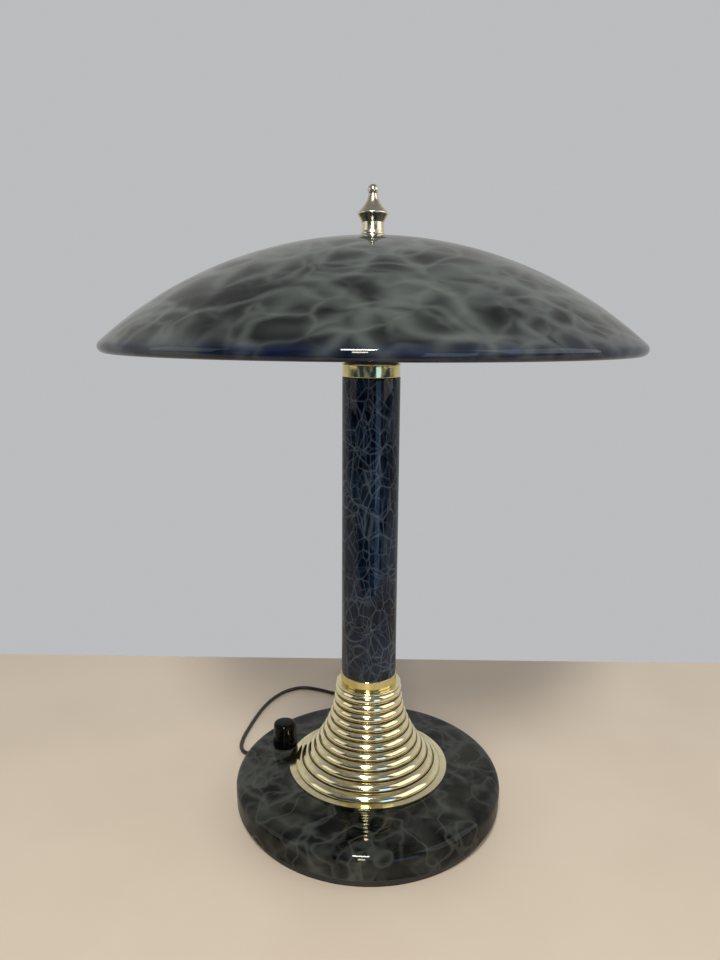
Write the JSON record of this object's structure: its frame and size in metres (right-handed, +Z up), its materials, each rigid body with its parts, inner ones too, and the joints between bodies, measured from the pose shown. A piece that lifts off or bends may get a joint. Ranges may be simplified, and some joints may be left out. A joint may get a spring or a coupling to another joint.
{
  "type": "dome table lamp",
  "caption": "Round-base table lamp with a shallow lacquered metal dome shade on a straight column, a ribbed brass skirt, a brass finial and a rotary dimmer on the base.",
  "frame": {"origin": "middle of the underside of the base, on the surface the lamp stands on", "axes": "+Z up along the column; -Y towards the viewer's side; the dimmer knob and the mains lead are on the -X side, towards +Y"},
  "size_m": [0.3533, 0.4107, 0.4467],
  "materials": {
    "base_lacquer": "gloss",
    "shade_lacquer": "gloss",
    "column_lacquer": "gloss",
    "foam": "matt",
    "black_plastic": "satin",
    "cast_iron": "rough",
    "zinc_steel": "satin",
    "skirt_brass": "polished",
    "collar_brass": "polished",
    "finial_brass": "polished",
    "hub_paint": "satin",
    "circuit_board": "satin",
    "knob_plastic": "gloss",
    "wire_insulation": "satin",
    "cord_pvc": "satin",
    "tie_wire": "satin",
    "plug_plastic": "satin",
    "pin_metal": "polished",
    "phenolic": "satin",
    "contact_brass": "satin",
    "cap_metal": "satin",
    "bulb_glass": "frosted",
    "stem_glass": "clear",
    "filament_wire": "satin"
  },
  "bodies": {
    "stand": {"base_shell": "base_lacquer", "base_pad": "foam", "bottom_cover": "black_plastic", "base_weight": "cast_iron", "cover_screws": "zinc_steel", "centre_rod": "zinc_steel", "rod_lock_washer": "zinc_steel", "rod_nut": "zinc_steel", "skirt": "skirt_brass", "lower_collar": "collar_brass", "column_tube": "column_lacquer", "top_collar": "collar_brass", "column_cap": "black_plastic", "column_nut": "zinc_steel", "socket_hub": "hub_paint", "hub_cover": "hub_paint", "hub_nut": "zinc_steel", "holder_nipples": "zinc_steel", "shade_rod": "zinc_steel", "seat_nut": "zinc_steel", "shade_seat": "zinc_steel", "seat_gasket": "foam", "finial_stud": "zinc_steel", "dimmer_housing": "black_plastic", "dimmer_board": "circuit_board", "dimmer_bushing": "zinc_steel", "dimmer_nut": "zinc_steel", "wires_left": "wire_insulation", "wires_right": "wire_insulation", "cord_gland": "cord_pvc", "cord_lead": "cord_pvc", "cord_coil": "cord_pvc", "coil_tie": "tie_wire", "cord_tail": "cord_pvc", "plug_body": "plug_plastic", "plug_pins": "pin_metal", "lamp_holder_left": "phenolic", "holder_contacts_left": "contact_brass", "bulb_cap_left": "cap_metal", "bulb_glass_left": "bulb_glass", "bulb_stem_left": "stem_glass", "bulb_filament_left": "filament_wire", "lamp_holder_right": "phenolic", "holder_contacts_right": "contact_brass", "bulb_cap_right": "cap_metal", "bulb_glass_right": "bulb_glass", "bulb_stem_right": "stem_glass", "bulb_filament_right": "filament_wire"},
    "shade": {"shade": "shade_lacquer"},
    "finial_carrier": {"finial_washer": "finial_brass"},
    "finial": {"finial": "finial_brass"},
    "knob": {"knob": "knob_plastic", "dimmer_shaft": "zinc_steel"}
  },
  "joints": [
    {"name": "knob_turn", "type": "hinge", "parent": "stand", "child": "knob", "pos_m": [-0.066, 0.023, 0.03], "axis": [0, 0, -1], "range_deg": [0, 300]},
    {"name": "shade_swivel", "type": "hinge", "parent": "stand", "child": "shade", "pos_m": [0, 0, 0.412], "axis": [0, 0, 1], "continuous": true},
    {"name": "finial_rise", "type": "slide", "parent": "stand", "child": "finial_carrier", "axis": [0, 0, 1], "range_m": [0, 0.006]},
    {"name": "finial_turn", "type": "hinge", "parent": "finial_carrier", "child": "finial", "pos_m": [0, 0, 0.415], "axis": [0, 0, 1], "range_deg": [0, 2160]}
  ],
  "couplings": [
    {"joint": "finial_turn", "follows": "finial_rise", "rad_per_m": 6283.2}
  ]
}
